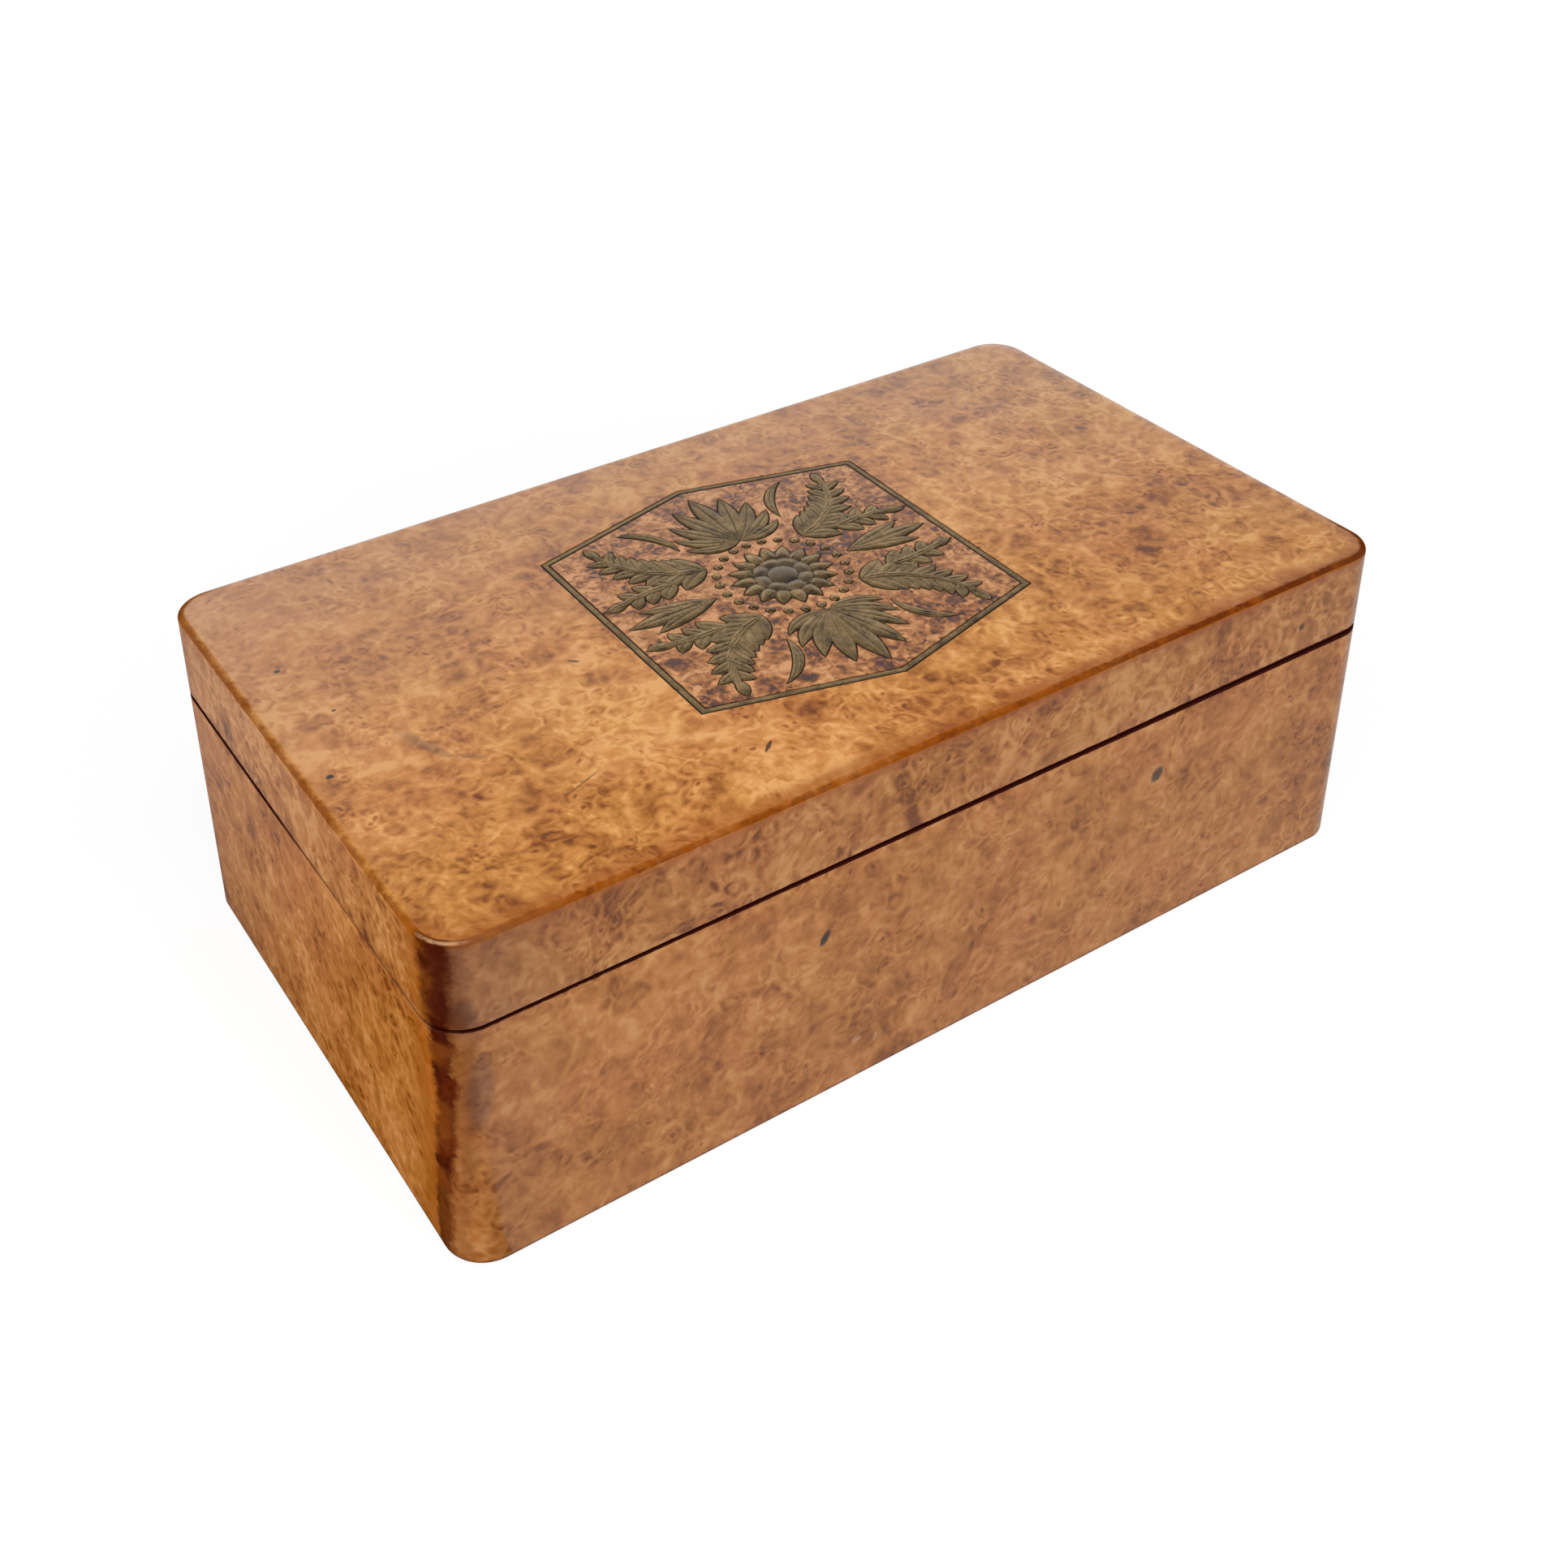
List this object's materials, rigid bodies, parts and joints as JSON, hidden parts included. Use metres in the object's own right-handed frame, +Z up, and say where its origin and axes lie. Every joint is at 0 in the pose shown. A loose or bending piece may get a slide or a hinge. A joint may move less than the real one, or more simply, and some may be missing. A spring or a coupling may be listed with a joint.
{
  "type": "humidor",
  "caption": "Burr-veneered wooden humidor with rounded corners, a hinged lid with inlaid brass ornament, and a cedar lining.",
  "frame": {"origin": "centre of the box's footprint, on the face of the baize that it stands on", "axes": "+X along the box to the right as seen from the front, +Y to the hinges at the back, +Z up"},
  "size_m": [0.32, 0.1851, 0.1092],
  "materials": {
    "burr_walnut": "wax-polished burr veneer",
    "dark_burr": "polished reddish burr",
    "carcass_wood": "plain sawn wood",
    "cedar": "bare cedar",
    "aged_brass": "dull aged brass",
    "hinge_brass": "worn brass",
    "polished_brass": "polished brass",
    "dial_white": "cream enamel",
    "glass": "clear",
    "blued_steel": "blued steel",
    "sponge": "open foam",
    "baize": "wool baize"
  },
  "bodies": {
    "base": {"baize_pad": "baize", "bottom_board": "carcass_wood", "base_front_board": "carcass_wood", "base_back_board": "carcass_wood", "base_left_board": "carcass_wood", "base_right_board": "carcass_wood", "base_front_veneer": "burr_walnut", "base_back_veneer": "burr_walnut", "base_left_veneer": "burr_walnut", "base_right_veneer": "burr_walnut", "cedar_floor": "cedar", "cedar_front_lining": "cedar", "cedar_back_lining": "cedar", "cedar_left_lining": "cedar", "cedar_right_lining": "cedar", "hinge_base_leaves": "hinge_brass", "hinge_pins": "hinge_brass", "hinge_base_screws": "hinge_brass"},
    "lid": {"lid_front_rail": "carcass_wood", "lid_back_rail": "carcass_wood", "lid_left_rail": "carcass_wood", "lid_right_rail": "carcass_wood", "lid_front_veneer": "burr_walnut", "lid_back_veneer": "burr_walnut", "lid_left_veneer": "burr_walnut", "lid_right_veneer": "burr_walnut", "lid_top_board": "carcass_wood", "lid_top_veneer": "burr_walnut", "lid_cedar_panel": "cedar", "lid_front_cedar_strip": "cedar", "lid_back_cedar_strip": "cedar", "lid_left_cedar_strip": "cedar", "lid_right_cedar_strip": "cedar", "inlay_field_veneer": "dark_burr", "inlay_border": "aged_brass", "inlay_rosette": "aged_brass", "inlay_pearls": "aged_brass", "inlay_sprays": "aged_brass", "inlay_palmettes": "aged_brass", "inlay_fleurons": "aged_brass", "inlay_tendrils": "aged_brass", "hinge_lid_leaves": "hinge_brass", "hinge_lid_screws": "hinge_brass", "hygrometer_case": "polished_brass", "hygrometer_dial": "dial_white", "hygrometer_bezel": "polished_brass", "hygrometer_glass": "glass", "hygrometer_coil": "blued_steel", "humidifier_cup": "polished_brass", "humidifier_sponge": "sponge", "humidifier_grille": "polished_brass", "humidifier_pivot_screw": "polished_brass", "humidifier_flange_screws": "polished_brass"},
    "divider": {"divider": "cedar"},
    "needle": {"hygrometer_needle": "blued_steel"},
    "shutter": {"humidifier_shutter": "polished_brass"}
  },
  "joints": [
    {"name": "lid_hinge", "type": "hinge", "parent": "base", "child": "lid", "pos_m": [0, 0.0925, 0.0813], "axis": [-1, 0, 0], "range_deg": [0, 95]},
    {"name": "divider_slide", "type": "slide", "parent": "base", "child": "divider", "axis": [1, 0, 0], "range_m": [-0.16, 0.08]},
    {"name": "needle_turn", "type": "hinge", "parent": "lid", "child": "needle", "pos_m": [0.072, 0, 0.095], "axis": [0, 0, 1], "range_deg": [-183.6, 86.4]},
    {"name": "shutter_turn", "type": "hinge", "parent": "lid", "child": "shutter", "pos_m": [-0.066, 0, 0.0914], "axis": [0, 0, 1], "range_deg": [0, 18]}
  ]
}
